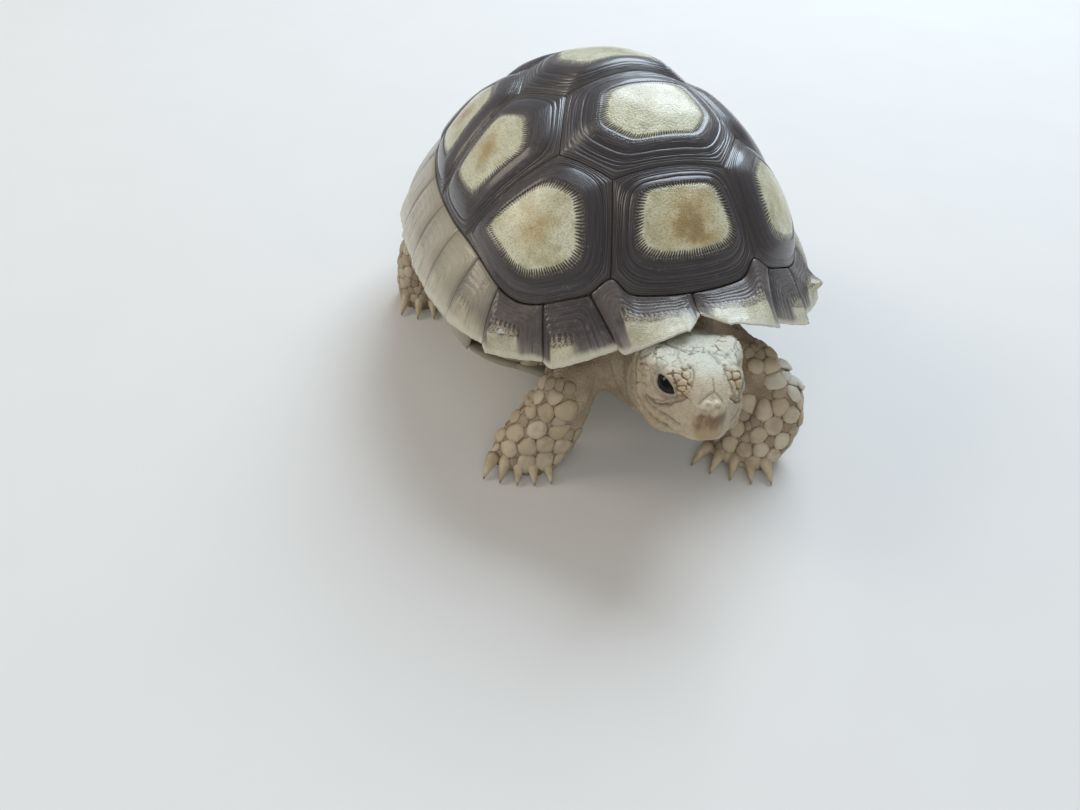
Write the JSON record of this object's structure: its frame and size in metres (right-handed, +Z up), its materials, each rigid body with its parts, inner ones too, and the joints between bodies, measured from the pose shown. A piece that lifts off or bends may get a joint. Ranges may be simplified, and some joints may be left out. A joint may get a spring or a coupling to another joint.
{
  "type": "sulcata tortoise, yearling, still model",
  "caption": "Young sulcata tortoise standing with its neck half out and head raised, dark grown shell plates round pale hatchling centres, scaly tan forelegs.",
  "frame": {"origin": "on the floor, under the middle of the animal's bounding box", "axes": "+Z up, the head points along -Y, the animal's left side is +X"},
  "size_m": [0.0702, 0.1044, 0.0593],
  "materials": {
    "carapace_plates": "horn plates, dark purplish brown growth rings with a satin gloss round granular cream hatchling centres",
    "marginal_plates": "horn plates, grey-tan with brown streaks at the seams, cream at the free edge, satin",
    "plastron_plates": "horn plates, ivory yellow with soft brown growth rings, satin",
    "head_skin": "dry scaly skin, pale sandy, brown horny beak, matte with a slight sheen",
    "leg_skin": "large rounded tan scales with dark creases, pale horn claws, satin",
    "body_skin": "loose folded grey-brown skin with tiny scales, matte",
    "eyes": "wet, near black"
  },
  "bodies": {
    "root": {"abdominal_left": "plastron_plates", "abdominal_right": "plastron_plates", "anal_left": "plastron_plates", "anal_right": "plastron_plates", "costal_left_1": "carapace_plates", "costal_left_2": "carapace_plates", "costal_left_3": "carapace_plates", "costal_left_4": "carapace_plates", "costal_right_1": "carapace_plates", "costal_right_2": "carapace_plates", "costal_right_3": "carapace_plates", "costal_right_4": "carapace_plates", "eye_left": "eyes", "eye_right": "eyes", "femoral_left": "plastron_plates", "femoral_right": "plastron_plates", "front_left_leg": "leg_skin", "front_right_leg": "leg_skin", "gular_left": "plastron_plates", "gular_right": "plastron_plates", "head": "head_skin", "hind_left_leg": "leg_skin", "hind_right_leg": "leg_skin", "humeral_left": "plastron_plates", "humeral_right": "plastron_plates", "marginal_left_1": "marginal_plates", "marginal_left_10": "marginal_plates", "marginal_left_11": "marginal_plates", "marginal_left_2": "marginal_plates", "marginal_left_3": "marginal_plates", "marginal_left_4": "marginal_plates", "marginal_left_5": "marginal_plates", "marginal_left_6": "marginal_plates", "marginal_left_7": "marginal_plates", "marginal_left_8": "marginal_plates", "marginal_left_9": "marginal_plates", "marginal_right_1": "marginal_plates", "marginal_right_10": "marginal_plates", "marginal_right_11": "marginal_plates", "marginal_right_2": "marginal_plates", "marginal_right_3": "marginal_plates", "marginal_right_4": "marginal_plates", "marginal_right_5": "marginal_plates", "marginal_right_6": "marginal_plates", "marginal_right_7": "marginal_plates", "marginal_right_8": "marginal_plates", "marginal_right_9": "marginal_plates", "neck": "body_skin", "pectoral_left": "plastron_plates", "pectoral_right": "plastron_plates", "supracaudal": "marginal_plates", "tail": "body_skin", "trunk": "body_skin", "vertebral_1": "carapace_plates", "vertebral_2": "carapace_plates", "vertebral_3": "carapace_plates", "vertebral_4": "carapace_plates", "vertebral_5": "carapace_plates"}
  },
  "joints": []
}
